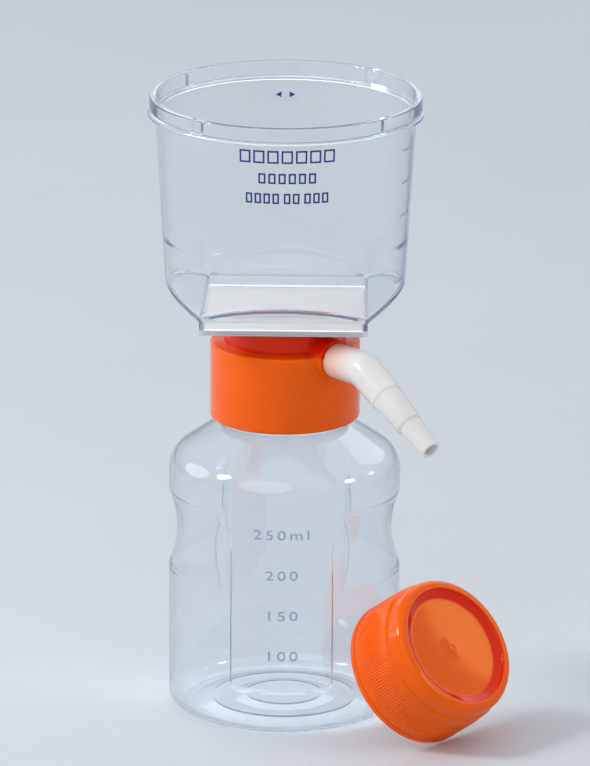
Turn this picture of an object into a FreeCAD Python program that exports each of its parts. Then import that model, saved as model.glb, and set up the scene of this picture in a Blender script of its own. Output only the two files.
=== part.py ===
"""Vacuum filtration unit: a clear funnel cup over a square membrane, an orange collar with a hose
connector, a clear storage bottle below it, and the bottle's cap leaning against the bottle.

Millimetres, +Z up. The origin is the centre of the bottle's foot, on the surface that it stands on.
+X is to the right of the graduated panel at the front, and the panel faces -Y.
"""

import FreeCAD, Part

import math
import os

import Sketcher
from FreeCAD import Placement, Rotation, Vector

# name, millimetres or degrees, what it is
SIZES = [
    ("bottle_radius", 37.0, "outside of the bottle's round wall"),
    ("bottle_wall", 1.3, "thickness of the blown bottle"),
    ("heel_radius", 6.0, "rounding between the wall and the foot"),
    ("foot_width", 2.5, "ring that the bottle stands on"),
    ("dish_radius", 22.7, "outer edge of the raised middle of the foot"),
    ("dish_rise", 1.3, "how far the middle of the foot is raised"),
    ("gate_radius", 14.4, "small disc at the centre of the foot"),
    ("gate_rise", 0.8, "how far that disc rises above the rest"),
    ("shoulder_base", 78.9, "height where the wall starts to turn in"),
    ("shoulder_radius", 9.5, "rounding of the shoulder"),
    ("shoulder_slope", 34.5, "degrees, slope of the shoulder towards the neck"),
    ("neck_radius", 20.8, "outside of the bottle's neck"),
    ("neck_bore", 19.2, "radius of the bottle's mouth"),
    ("mouth_height", 113.8, "top of the bottle's mouth"),
    ("grip_bottom", 47.1, "lower edge of the side grips"),
    ("grip_height", 24.9, "height of the side grips"),
    ("grip_depth", 2.6, "depth of the side grips at their middle"),
    ("grip_angle", 116.0, "degrees of the wall that each side grip takes"),
    ("panel_bottom", 15.1, "lower edge of the front and back panels"),
    ("panel_height", 50.6, "height of the front and back panels"),
    ("panel_depth", 0.35, "how far the panels are set in"),
    ("panel_angle", 52.0, "degrees of the wall that each panel takes"),
    ("seal_height", 1.6, "thickness of the sealing ring"),
    ("seal_width", 2.7, "radial width of the sealing ring"),
    ("collar_radius", 24.0, "outside of the collar's skirt"),
    ("collar_bore", 22.3, "radius inside the collar's skirt"),
    ("collar_bottom", 96.5, "lower edge of the collar's skirt"),
    ("collar_roof", 6.0, "thickness of the roof over the sealing ring"),
    ("collar_edge", 0.9, "rounding of the skirt's edges"),
    ("stem_radius", 19.65, "outside of the stem above the skirt"),
    ("stem_wall", 1.7, "wall of the stem"),
    ("stem_height", 8.6, "height of the stem above the skirt"),
    ("port_drop", 1.3, "port's axis below the top of the skirt"),
    ("port_angle", -48.9, "degrees from +X, direction of the port"),
    ("boss_radius", 6.5, "outside of the boss round the port"),
    ("boss_reach", 25.3, "distance of the boss's face from the axis"),
    ("base_side", 53.5, "side of the square filter base and cup foot"),
    ("base_height", 1.7, "thickness of the clear filter base"),
    ("channel_width", 1.2, "drain channels in the filter base"),
    ("channel_depth", 0.7, "depth of the drain channels"),
    ("spigot_clearance", 0.1, "between the base's spigot and the stem"),
    ("spigot_height", 3.0, "depth of the spigot in the stem"),
    ("drain_radius", 4.0, "outside of the drain tube"),
    ("drain_wall", 1.2, "wall of the drain tube and the spigot"),
    ("drain_length", 20.0, "length of the drain tube below the base"),
    ("membrane_margin", 0.55, "between the membrane and the cup's square foot"),
    ("membrane_height", 0.2, "thickness of the membrane"),
    ("membrane_seat", 0.3, "depth of the membrane's seat in the base"),
    ("membrane_clearance", 0.15, "round the membrane in its seat"),
    ("cup_wall", 1.3, "wall of the funnel cup"),
    ("cup_foot_height", 2.7, "height of the cup's square foot"),
    ("facet_slope", 29.0, "degrees, slope of the cup's four bottom facets"),
    ("cup_foot_radius", 37.85, "outside of the round wall, carried down to the square foot"),
    ("cup_top_radius", 41.5, "outside of the round wall under the rim"),
    ("cup_height", 61.7, "round wall from the square foot to the rim"),
    ("step_height", 22.0, "height of the faint step inside the wall"),
    ("step_depth", 0.3, "depth of that step"),
    ("lip_reach", 0.6, "how far the lip stands out from the rim band"),
    ("lip_height", 1.2, "thickness of the lip"),
    ("rim_radius", 43.4, "outside of the rim band"),
    ("rim_wall", 2.2, "wall of the rim band"),
    ("rim_height", 6.2, "height of the rim band"),
    ("rim_edge", 0.45, "rounding of the rim's and the lip's outer edges"),
    ("lug_depth", 0.8, "how far the stacking lugs stand in from the rim band"),
    ("lug_width", 3.2, "width of the stacking lugs"),
    ("lug_angle", 50.0, "degrees, first of the four stacking lugs"),
    ("hose_level_radius", 5.6, "level part and elbow of the hose connector"),
    ("hose_level_end", 39.1, "distance of the elbow from the axis"),
    ("hose_slope", 29.8, "degrees that the barb points down"),
    ("hose_first_end", 12.9, "length of the first stage of the barb"),
    ("hose_second_end", 25.8, "end of the second stage of the barb"),
    ("hose_tip_end", 38.1, "end of the barb"),
    ("hose_first_small", 5.35, "radius at the end of the first stage"),
    ("hose_second_large", 5.05, "radius at the start of the second stage"),
    ("hose_second_small", 4.35, "radius at the end of the second stage"),
    ("hose_tip_large", 3.85, "radius at the start of the last stage"),
    ("hose_tip_small", 3.25, "radius at the barb's tip"),
    ("hose_bore", 2.3, "radius of the way through the connector"),
    ("spout_radius", 3.2, "connector's stub inside the boss"),
    ("spout_length", 5.5, "length of that stub"),
    ("spout_clearance", 0.05, "round the stub in its bore"),
    ("face_gap", 0.2, "between the connector and the boss's face"),
    ("cap_radius", 24.1, "bead at the cap's open edge"),
    ("cap_bead", 1.8, "height of that bead"),
    ("cap_rib_root", 0.35, "depth of the cap's ribs"),
    ("cap_skirt_height", 17.4, "height of the ribbed skirt"),
    ("cap_height", 24.0, "height of the cap"),
    ("cap_crown_radius", 22.9, "outside of the smooth crown"),
    ("cap_crown_round", 2.4, "rounding of the crown's outer edge"),
    ("cap_crown_edge", 0.8, "rounding of the crown's inner edge"),
    ("cap_bore", 22.2, "radius inside the cap"),
    ("cap_recess_radius", 19.5, "radius of the recess in the cap's top"),
    ("cap_recess_depth", 2.0, "depth of that recess"),
    ("cap_recess_floor", 17.0, "radius of the recess's flat floor, inside its sloping wall"),
    ("cap_panel", 1.5, "thickness of the cap's top panel"),
    ("cap_lean_angle", 35.3, "degrees that the cap's axis rises"),
    ("cap_place_angle", -37.1, "degrees from +X, where the cap stands"),
    ("cap_facing_angle", -39.9, "degrees from +X, where the cap's top faces"),
    ("cap_gap", 0.1, "between the cap's edge and the bottle"),
]

OVERRUN = 1.0  # how far a cutting solid runs past the face it opens
LUGS = 4
CHANNELS = 13

doc = FreeCAD.newDocument("vacuum_filtration_unit")


class Size:
    """A number that also keeps the formula that it follows in the spreadsheet."""

    def __init__(self, value, formula):
        self.value = float(value)
        self.formula = formula

    def __add__(self, other):
        other = size_of(other)
        return Size(self.value + other.value, f"({self.formula} + {other.formula})")

    def __sub__(self, other):
        other = size_of(other)
        return Size(self.value - other.value, f"({self.formula} - {other.formula})")

    def __mul__(self, other):
        other = size_of(other)
        return Size(self.value * other.value, f"({self.formula} * {other.formula})")

    def __truediv__(self, other):
        other = size_of(other)
        return Size(self.value / other.value, f"({self.formula} / {other.formula})")

    def __neg__(self):
        return Size(-self.value, f"(-{self.formula})")


def size_of(number):
    return number if isinstance(number, Size) else Size(number, repr(float(number)))


def cosine(angle):
    return Size(math.cos(math.radians(angle.value)), f"cos({angle.formula} * 1 deg)")


def sine(angle):
    return Size(math.sin(math.radians(angle.value)), f"sin({angle.formula} * 1 deg)")


def tangent(angle):
    return Size(math.tan(math.radians(angle.value)), f"tan({angle.formula} * 1 deg)")


def root(number):
    return Size(math.sqrt(number.value), f"sqrt({number.formula})")


def make_sheet():
    """The driving dimensions, one a row, each with its name as alias."""
    sheet = doc.addObject("Spreadsheet::Sheet", "sizes")
    found = {}
    for row, (name, value, meaning) in enumerate(SIZES, start=1):
        sheet.set(f"A{row}", name)
        sheet.set(f"B{row}", str(value))
        sheet.set(f"C{row}", meaning)
        sheet.setAlias(f"B{row}", name)
        found[name] = Size(value, f"sizes.{name}")
    doc.recompute()
    return found


size = make_sheet()


def bind(thing, **properties):
    """Sets each property of thing to follow its formula."""
    for name, value in properties.items():
        thing.setExpression(name, size_of(value).formula)


def origin_plane(body, role):
    return next(f for f in body.Origin.OriginFeatures if f.Role == role)


def origin_z_axis(body):
    return next(f for f in body.Origin.OriginFeatures if f.Role == "Z_Axis")


def new_body(name):
    body = doc.addObject("PartDesign::Body", name)
    body.Label = name
    return body


def arc_between(start, end, radius, side):
    """The arc from start to end and which of its ends comes first. side is 1 where the arc bulges to
    the right of the way from start to end, and -1 to the left."""
    chord = end - start
    across = Vector(-chord.y, chord.x, 0).normalize()
    rise = math.sqrt(max(radius**2 - (chord.Length / 2) ** 2, 0))
    centre = start + chord * 0.5 + across * (rise * side)
    angles = [math.atan2(p.y - centre.y, p.x - centre.x) for p in (start, end)]
    circle = Part.Circle(centre, Vector(0, 0, 1), radius)
    if side > 0:
        return Part.ArcOfCircle(circle, angles[0], angles[1]), 1
    return Part.ArcOfCircle(circle, angles[1], angles[0]), 2


def pin_corner(sketch, edge, end, corner):
    """Ties one end of an edge to its place, measured from the sketch's origin."""
    for kind, place, axis in (("DistanceX", corner[0], -2), ("DistanceY", corner[1], -1)):
        place = size_of(place)
        if abs(place.value) < 1e-9:
            sketch.addConstraint(Sketcher.Constraint("PointOnObject", edge, end, axis))
            continue
        number = sketch.addConstraint(Sketcher.Constraint(kind, -1, 1, edge, end, place.value))
        sketch.setExpression(f"Constraints[{number}]", place.formula)


def outline(body, name, role, corners):
    """A closed outline through corners, each (x, y) or (x, y, radius, side), where the radius makes an
    arc of the edge that leaves that corner."""
    sketch = body.newObject("Sketcher::SketchObject", name)
    sketch.AttachmentSupport = [(origin_plane(body, role), "")]
    sketch.MapMode = "FlatFace"
    points = [Vector(size_of(c[0]).value, size_of(c[1]).value, 0) for c in corners]
    ends = []
    for index, corner in enumerate(corners):
        start, end = points[index], points[(index + 1) % len(points)]
        if len(corner) == 2:
            ends.append((sketch.addGeometry(Part.LineSegment(start, end), False), 1, 2))
            continue
        radius = size_of(corner[2])
        arc, first = arc_between(start, end, radius.value, corner[3])
        edge = sketch.addGeometry(arc, False)
        ends.append((edge, first, 3 - first))
        number = sketch.addConstraint(Sketcher.Constraint("Radius", edge, radius.value))
        sketch.setExpression(f"Constraints[{number}]", radius.formula)
    for index, (edge, first, _) in enumerate(ends):
        before, _, last = ends[index - 1]
        sketch.addConstraint(Sketcher.Constraint("Coincident", before, last, edge, first))
        pin_corner(sketch, edge, first, corners[index])
    return sketch


def revolve(body, name, corners):
    """A full turn of the outline about Z."""
    sketch = outline(body, name + "_outline", "XZ_Plane", corners)
    turned = body.newObject("PartDesign::Revolution", name)
    turned.Profile = sketch
    turned.ReferenceAxis = (sketch, ["V_Axis"])
    turned.Angle = 360
    return turned


def groove_pair(body, name, role, corners, angle):
    """Cuts the outline from two opposite sides of the body, over angle degrees on each side."""
    doc.recompute()
    before = body.Shape.Volume
    sketch = outline(body, name + "_outline", role, corners)
    groove = body.newObject("PartDesign::Groove", name)
    groove.Profile = sketch
    groove.ReferenceAxis = (sketch, ["V_Axis"])
    groove.Midplane = True
    groove.setExpression("Angle", angle.formula)
    doc.recompute()
    pattern = body.newObject("PartDesign::PolarPattern", name + "_pair")
    pattern.Originals = [groove]
    pattern.Axis = (origin_z_axis(body), [""])
    pattern.Angle = 360
    pattern.Occurrences = 2
    body.Tip = pattern
    doc.recompute()
    if body.Shape.Volume >= before:
        raise RuntimeError(f"{name} cuts nothing")


def cylinder(name, radius, height, bottom):
    made = doc.addObject("Part::Cylinder", name)
    bind(made, Radius=radius, Height=height)
    made.setExpression("Placement.Base.z", size_of(bottom).formula)
    return made


def square_slab(name, side, height, bottom):
    """A square slab centred on Z."""
    return centred_box(name, side, side, height, bottom)


def centred_box(name, length, width, height, bottom):
    made = doc.addObject("Part::Box", name)
    bind(made, Length=length, Width=width, Height=height)
    made.setExpression("Placement.Base.x", (-size_of(length) / 2).formula)
    made.setExpression("Placement.Base.y", (-size_of(width) / 2).formula)
    made.setExpression("Placement.Base.z", size_of(bottom).formula)
    return made


def square_flare(name, side, height, slope, bottom):
    """A square frustum that widens upwards, its four faces rising at slope degrees."""
    half = size_of(side) / 2
    wide = half + size_of(height) / tangent(slope)
    made = doc.addObject("Part::Wedge", name)
    bind(made, Ymin=0, Ymax=height, Xmin=-half, Xmax=half, Zmin=-half, Zmax=half)
    bind(made, X2min=-wide, X2max=wide, Z2min=-wide, Z2max=wide)
    made.Placement = Placement(Vector(0, 0, size_of(bottom).value), Rotation(Vector(1, 0, 0), 90))
    made.setExpression("Placement.Base.z", size_of(bottom).formula)
    return made


def join(name, pieces):
    made = doc.addObject("Part::MultiFuse", name)
    made.Shapes = pieces
    return made


def overlap(name, pieces):
    made = doc.addObject("Part::MultiCommon", name)
    made.Shapes = pieces
    return made


def cut(name, base, tool):
    made = doc.addObject("Part::Cut", name)
    made.Base = base
    made.Tool = tool
    return made


# Heights that several sub-parts share, from the foot upwards.
seal_bottom = size["mouth_height"]
seal_top = seal_bottom + size["seal_height"]
collar_top = seal_top + size["collar_roof"]
base_bottom = collar_top + size["stem_height"]
base_top = base_bottom + size["base_height"]
facet_bottom = base_top + size["cup_foot_height"]
rim_bottom = facet_bottom + size["cup_height"]
rim_top = rim_bottom + size["rim_height"]
port_height = collar_top - size["port_drop"]
stem_bore = size["stem_radius"] - size["stem_wall"]
membrane_side = size["base_side"] - (size["cup_wall"] + size["membrane_margin"]) * 2


def bottle_shoulder(inset):
    """Corners from the wall to the neck, for the bottle's outside or, set in, for its inside."""
    centre = size["bottle_radius"] - size["shoulder_radius"]
    radius = size["shoulder_radius"] - inset
    lean = size["shoulder_slope"]
    end = (centre + radius * sine(lean), size["shoulder_base"] + radius * cosine(lean))
    wall = (size["bottle_radius"] - inset, size["shoulder_base"], radius, 1)
    return wall, end


def bottle_skin(name, inset):
    """The bottle's outside, or the hollow inside it, as a solid body with its grips."""
    body = new_body(name)
    wall, slope_start = bottle_shoulder(inset)
    heel = size["heel_radius"]
    foot = size["bottle_radius"] - heel
    neck = size["neck_bore"] if inset.value else size["neck_radius"]
    top = size["mouth_height"] + (OVERRUN if inset.value else 0)
    neck_base = slope_start[1] + (slope_start[0] - neck) * tangent(size["shoulder_slope"])
    gate = size["dish_rise"] + size["gate_rise"] + inset
    revolve(
        body,
        name + "_turned",
        [
            (0, gate),
            (size["gate_radius"], gate),
            (size["gate_radius"], size["dish_rise"] + inset),
            (size["dish_radius"], size["dish_rise"] + inset),
            (foot - size["foot_width"], inset),
            (foot, inset, heel - inset, 1),
            (size["bottle_radius"] - inset, heel),
            wall,
            slope_start,
            (neck, neck_base),
            (neck, top),
            (0, top),
        ],
    )
    cut_grips(body, name, inset)
    return body


def cut_grips(body, name, inset):
    """The two side grips: a shallow scoop in the wall's height that ends in an upright step."""
    depth, height = size["grip_depth"], size["grip_height"]
    scoop = (height * height / 4 + depth * depth) / (depth * 2)
    middle = size["grip_bottom"] + height / 2
    radius = scoop + inset
    reach = root(radius * depth * 2 - depth * depth)
    face = size["bottle_radius"] - inset
    outside = face + OVERRUN
    # The step's own wall needs the hollow's grip to reach further round.
    step = inset / size["bottle_radius"] * (2 * 180 / math.pi)
    groove_pair(
        body,
        name + "_grip",
        "XZ_Plane",
        [
            (outside, middle - reach),
            (face, middle - reach, radius, -1),
            (face, middle + reach),
            (outside, middle + reach),
        ],
        size["grip_angle"] + step,
    )


def make_bottle():
    outside = bottle_skin("bottle_outside", size_of(0))
    face = size["bottle_radius"] - size["panel_depth"]
    top = size["panel_bottom"] + size["panel_height"]
    groove_pair(
        outside,
        "panel",
        "YZ_Plane",
        [
            (face, size["panel_bottom"]),
            (size["bottle_radius"] + OVERRUN, size["panel_bottom"]),
            (size["bottle_radius"] + OVERRUN, top),
            (face, top),
        ],
        size["panel_angle"],
    )
    hollow = bottle_skin("bottle_hollow", size["bottle_wall"])
    return cut("storage_bottle", outside, hollow)


def make_seal_ring():
    body = new_body("seal_ring")
    inner = size["neck_bore"] + size["spigot_clearance"]
    outer = inner + size["seal_width"]
    corners = [(inner, seal_bottom), (outer, seal_bottom), (outer, seal_top), (inner, seal_top)]
    revolve(body, "seal_ring_turned", corners)
    return body


def radial_cylinder(name, radius, start, end):
    """A cylinder on the port's axis, from start to end as measured from the unit's axis."""
    made = doc.addObject("Part::Cylinder", name)
    start, end = size_of(start), size_of(end)
    bind(made, Radius=radius, Height=end - start)
    turn = Rotation(Vector(0, 0, 1), size["port_angle"].value) * Rotation(Vector(0, 1, 0), 90)
    made.Placement = Placement(Vector(0, 0, 0), turn)
    made.setExpression("Placement.Base.x", (start * cosine(size["port_angle"])).formula)
    made.setExpression("Placement.Base.y", (start * sine(size["port_angle"])).formula)
    made.setExpression("Placement.Base.z", port_height.formula)
    return made


def make_collar():
    edge = size["collar_edge"]
    skirt = size["collar_radius"]
    solid = new_body("collar_outside")
    revolve(
        solid,
        "collar_turned",
        [
            (0, size["collar_bottom"]),
            (skirt - edge, size["collar_bottom"], edge, 1),
            (skirt, size["collar_bottom"] + edge),
            (skirt, collar_top - edge, edge, 1),
            (skirt - edge, collar_top),
            (size["stem_radius"], collar_top),
            (size["stem_radius"], base_bottom),
            (0, base_bottom),
        ],
    )
    boss = radial_cylinder("collar_boss", size["boss_radius"], stem_bore, size["boss_reach"])
    hollow = new_body("collar_hollow")
    revolve(
        hollow,
        "collar_hollow_turned",
        [
            (0, size["collar_bottom"] - OVERRUN),
            (size["collar_bore"], size["collar_bottom"] - OVERRUN),
            (size["collar_bore"], seal_top),
            (stem_bore, seal_top),
            (stem_bore, base_bottom + OVERRUN),
            (0, base_bottom + OVERRUN),
        ],
    )
    bore = size["spout_radius"] + size["spout_clearance"]
    port = radial_cylinder("collar_port", bore, stem_bore - OVERRUN, size["boss_reach"] + OVERRUN)
    outside = join("collar_solid", [solid, boss])
    return cut("collar", outside, join("collar_openings", [hollow, port]))


def make_filter_base():
    side = size["base_side"]
    slab = square_slab("base_slab", side, size["base_height"], base_bottom)
    spigot_radius = stem_bore - size["spigot_clearance"]
    spigot_bottom = base_bottom - size["spigot_height"]
    spigot = cylinder("base_spigot", spigot_radius, size["spigot_height"], spigot_bottom)
    spigot_hole = cylinder(
        "base_spigot_hole",
        spigot_radius - size["drain_wall"],
        size["spigot_height"],
        spigot_bottom,
    )
    drain_bottom = base_bottom - size["drain_length"]
    tube = cylinder("base_drain", size["drain_radius"], size["drain_length"], drain_bottom)
    hole = cylinder(
        "base_drain_hole",
        size["drain_radius"] - size["drain_wall"],
        size["drain_length"] + size["base_height"] + OVERRUN,
        drain_bottom - OVERRUN / 2,
    )
    seat_side = membrane_side + size["membrane_clearance"] * 2
    seat = square_slab("base_seat", seat_side, size["membrane_seat"] + OVERRUN, base_top - size["membrane_seat"])
    ring = cut("base_spigot_ring", spigot, spigot_hole)
    return cut(
        "filter_base",
        join("base_solid", [slab, ring, tube]),
        join("base_openings", [hole, seat] + base_channels()),
    )


def base_channels():
    """Drain channels under the membrane, side by side, with one across them through the drain."""
    width = size["channel_width"]
    length = membrane_side - width * 2
    pitch = length / CHANNELS
    floor = base_top - size["membrane_seat"] - size["channel_depth"]
    deep = size["channel_depth"] + OVERRUN / 2
    made = [centred_box("base_channel_across", length, width * 2, deep, floor)]
    for index in range(CHANNELS):
        channel = centred_box(f"base_channel_{index}", width, length, deep, floor)
        offset = pitch * (index - (CHANNELS - 1) / 2) - width / 2
        channel.setExpression("Placement.Base.x", offset.formula)
        made.append(channel)
    return made


def make_membrane():
    return square_slab(
        "membrane", membrane_side, size["membrane_height"], base_top - size["membrane_seat"]
    )


def make_funnel_cup():
    outside = join("cup_solid", [cup_bowl(), cup_foot()])
    body = cut("cup_shell", outside, cup_hollow())
    return join("funnel_cup", [body] + rim_lugs())


def cup_taper():
    """How much the cup's round wall widens for each millimetre of height."""
    return (size["cup_top_radius"] - size["cup_foot_radius"]) / size["cup_height"]


def cup_bowl():
    """The round wall with its rim, cut by the four sloping facets."""
    rim, lip, edge = size["rim_radius"], size["lip_reach"], size["rim_edge"]
    lip_top = rim_bottom + size["lip_height"]
    bowl = new_body("cup_round")
    revolve(
        bowl,
        "cup_turned",
        [
            (0, facet_bottom),
            (size["cup_foot_radius"], facet_bottom),
            (size["cup_top_radius"], rim_bottom),
            (rim + lip - edge, rim_bottom, edge, 1),
            (rim + lip, rim_bottom + edge),
            (rim + lip, lip_top - edge, edge, 1),
            (rim + lip - edge, lip_top),
            (rim, lip_top),
            (rim, rim_top - edge, edge, 1),
            (rim - edge, rim_top),
            (0, rim_top),
        ],
    )
    height = rim_top - facet_bottom + OVERRUN
    flare = square_flare("cup_facets", size["base_side"], height, size["facet_slope"], facet_bottom)
    return overlap("cup_bowl", [bowl, flare])


def cup_foot():
    return square_slab("cup_square", size["base_side"], size["cup_foot_height"], base_top)


def cup_hollow():
    wall = size["cup_wall"]
    well = size["base_side"] - wall * 2
    # The facets inside lie one wall behind those outside, so they meet the well a little higher.
    rise = wall / cosine(size["facet_slope"]) - wall * tangent(size["facet_slope"])
    start = facet_bottom + rise
    taper = cup_taper()
    step = facet_bottom + size["step_height"]
    ledge = rim_bottom + wall
    inner = size["cup_foot_radius"] - wall
    bowl = new_body("cup_hollow_round")
    revolve(
        bowl,
        "cup_hollow_turned",
        [
            (0, facet_bottom),
            (inner - size["step_depth"], facet_bottom),
            (inner - size["step_depth"] + taper * size["step_height"], step),
            (inner + taper * size["step_height"], step),
            (inner + taper * (size["cup_height"] + wall), ledge),
            (size["rim_radius"] - size["rim_wall"], ledge),
            (size["rim_radius"] - size["rim_wall"], rim_top + OVERRUN),
            (0, rim_top + OVERRUN),
        ],
    )
    height = rim_top - start + OVERRUN * 2
    flare = square_flare("cup_hollow_facets", well, height, size["facet_slope"], start)
    square = square_slab("cup_well", well, start - base_top + OVERRUN, base_top - OVERRUN)
    return join("cup_hollow", [overlap("cup_hollow_bowl", [bowl, flare]), square])


def rim_lugs():
    """Small upright lugs inside the rim band, which keep stacked cups apart."""
    rooted = size["rim_wall"] / 2
    inner = size["rim_radius"] - size["rim_wall"] - size["lug_depth"]
    bottom = rim_bottom + size["cup_wall"]
    made = []
    for index in range(LUGS):
        lug = doc.addObject("Part::Box", f"cup_lug_{index}")
        bind(lug, Length=size["lug_depth"] + rooted, Width=size["lug_width"], Height=rim_top - bottom)
        turn = Rotation(Vector(0, 0, 1), size["lug_angle"].value + index * 360 / LUGS)
        place = Vector(inner.value, -size["lug_width"].value / 2, bottom.value)
        lug.Placement = Placement(turn.multVec(place), turn)
        made.append(lug)
    return made


def make_hose_connector():
    """Made along +X, with the elbow at its own origin, then set on the port's axis."""
    bore = size["hose_bore"]
    level_radius = size["hose_level_radius"]
    face = size["boss_reach"] + size["face_gap"]
    level_length = size["hose_level_end"] - face
    spout_length = size["spout_length"] + size["face_gap"]

    level = new_body("hose_level")
    revolve(
        level,
        "hose_level_turned",
        [
            (0, 0),
            (level_radius, 0),
            (level_radius, level_length),
            (size["spout_radius"], level_length),
            (size["spout_radius"], level_length + spout_length),
            (0, level_length + spout_length),
        ],
    )
    barb = new_body("hose_barb")
    revolve(
        barb,
        "hose_barb_turned",
        [
            (0, 0),
            (level_radius, 0),
            (size["hose_first_small"], size["hose_first_end"]),
            (size["hose_second_large"], size["hose_first_end"]),
            (size["hose_second_small"], size["hose_second_end"]),
            (size["hose_tip_large"], size["hose_second_end"]),
            (size["hose_tip_small"], size["hose_tip_end"]),
            (0, size["hose_tip_end"]),
        ],
    )
    elbow = doc.addObject("Part::Sphere", "hose_elbow")
    bind(elbow, Radius=level_radius)
    level_hole = cylinder("hose_level_bore", bore, level_length + spout_length + OVERRUN, 0)
    barb_hole = cylinder("hose_barb_bore", bore, size["hose_tip_end"] + OVERRUN, 0)
    elbow_hole = doc.addObject("Part::Sphere", "hose_elbow_bore")
    bind(elbow_hole, Radius=bore)

    towards_unit = Rotation(Vector(0, 1, 0), -90)
    downwards = Rotation(Vector(0, 1, 0), 90 + size["hose_slope"].value)
    for piece, turn in ((level, towards_unit), (level_hole, towards_unit), (barb, downwards), (barb_hole, downwards)):
        piece.Placement = Placement(Vector(0, 0, 0), turn)

    connector = cut(
        "hose_connector",
        join("hose_solid", [level, elbow, barb]),
        join("hose_way", [level_hole, elbow_hole, barb_hole]),
    )
    connector.Placement = Placement(Vector(0, 0, 0), Rotation(Vector(0, 0, 1), size["port_angle"].value))
    reach = size["hose_level_end"]
    connector.setExpression("Placement.Base.x", (reach * cosine(size["port_angle"])).formula)
    connector.setExpression("Placement.Base.y", (reach * sine(size["port_angle"])).formula)
    connector.setExpression("Placement.Base.z", port_height.formula)
    return connector


def make_cap():
    """Made upright with its open edge at zero, then leaned on its edge against the bottle."""
    root_radius = size["cap_radius"] - size["cap_rib_root"]
    top = size["cap_height"]
    crown, crown_round = size["cap_crown_radius"], size["cap_crown_round"]
    recess, recess_edge = size["cap_recess_radius"], size["cap_crown_edge"]
    floor = top - size["cap_recess_depth"]
    ceiling = floor - size["cap_panel"]
    shoulder = size["cap_skirt_height"] + (root_radius - crown)
    cap = new_body("cap")
    revolve(
        cap,
        "cap_turned",
        [
            (0, ceiling),
            (size["cap_bore"], ceiling),
            (size["cap_bore"], 0),
            (size["cap_radius"], 0),
            (size["cap_radius"], size["cap_bead"]),
            (root_radius, size["cap_bead"]),
            (root_radius, size["cap_skirt_height"]),
            (crown, shoulder),
            (crown, top - crown_round, crown_round, 1),
            (crown - crown_round, top),
            (recess + recess_edge, top, recess_edge, 1),
            (recess, top - recess_edge),
            (size["cap_recess_floor"], floor),
            (0, floor),
        ],
    )
    lean = size["cap_lean_angle"]
    towards, place = size["cap_facing_angle"], size["cap_place_angle"]
    # The leaning edge is an ellipse seen from above, a little turned from the bottle.
    half_wide = size["cap_radius"] * sine(towards - place)
    half_deep = size["cap_radius"] * sine(lean) * cosine(towards - place)
    across = size["bottle_radius"] + size["cap_gap"] + root(half_wide * half_wide + half_deep * half_deep)
    upright = Rotation(Vector(0, 1, 0), 90 - lean.value)
    cap.Placement = Placement(Vector(0, 0, 0), Rotation(Vector(0, 0, 1), towards.value) * upright)
    cap.setExpression("Placement.Base.x", (across * cosine(place)).formula)
    cap.setExpression("Placement.Base.y", (across * sine(place)).formula)
    cap.setExpression("Placement.Base.z", (size["cap_radius"] * cosine(lean)).formula)
    return cap


def check(sub_parts):
    """Stops where any object failed, or a sub-part isn't a sound solid."""
    failed = [o.Name for o in doc.Objects if {"Invalid", "Error"} & set(o.State)]
    for part in sub_parts:
        shape = part.Shape
        if shape.isNull() or not shape.isValid() or not shape.Solids:
            failed.append(part.Label)
    if failed:
        raise RuntimeError("failed: " + ", ".join(failed))


sub_parts = [
    make_bottle(),
    make_seal_ring(),
    make_collar(),
    make_filter_base(),
    make_membrane(),
    make_funnel_cup(),
    make_hose_connector(),
    make_cap(),
]
doc.recompute()
check(sub_parts)
os.makedirs("parts", exist_ok=True)
for part in sub_parts:
    part.Shape.exportStep(f"parts/{part.Label}.step")
    box = part.Shape.BoundBox
    print(
        f"{part.Label}: {len(part.Shape.Solids)} solid, {part.Shape.Volume:.0f} mm3, "
        f"z {box.ZMin:.2f} to {box.ZMax:.2f}"
    )
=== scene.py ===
import math

import bmesh
import bpy
from mathutils import Matrix, Vector


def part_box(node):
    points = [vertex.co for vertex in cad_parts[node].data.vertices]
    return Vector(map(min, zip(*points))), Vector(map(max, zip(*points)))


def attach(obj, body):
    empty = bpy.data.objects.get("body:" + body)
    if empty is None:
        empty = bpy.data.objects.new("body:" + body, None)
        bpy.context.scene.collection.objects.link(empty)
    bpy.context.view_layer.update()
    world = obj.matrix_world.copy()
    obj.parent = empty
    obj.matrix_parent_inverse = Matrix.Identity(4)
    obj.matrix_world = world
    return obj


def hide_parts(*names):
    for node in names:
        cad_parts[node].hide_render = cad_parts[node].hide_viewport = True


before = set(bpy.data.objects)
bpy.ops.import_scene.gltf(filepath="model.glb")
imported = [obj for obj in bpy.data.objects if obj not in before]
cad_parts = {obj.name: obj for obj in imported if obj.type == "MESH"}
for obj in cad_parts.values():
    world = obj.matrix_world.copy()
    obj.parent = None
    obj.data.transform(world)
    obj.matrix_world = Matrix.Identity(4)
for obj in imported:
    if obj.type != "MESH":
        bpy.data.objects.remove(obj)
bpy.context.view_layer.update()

MM = 0.001

# Millimetres and degrees, as the solids have them. Heights that sub-parts share come from the solids in
# model.glb.
high = {name: [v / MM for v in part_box(name)[1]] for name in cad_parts}

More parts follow.
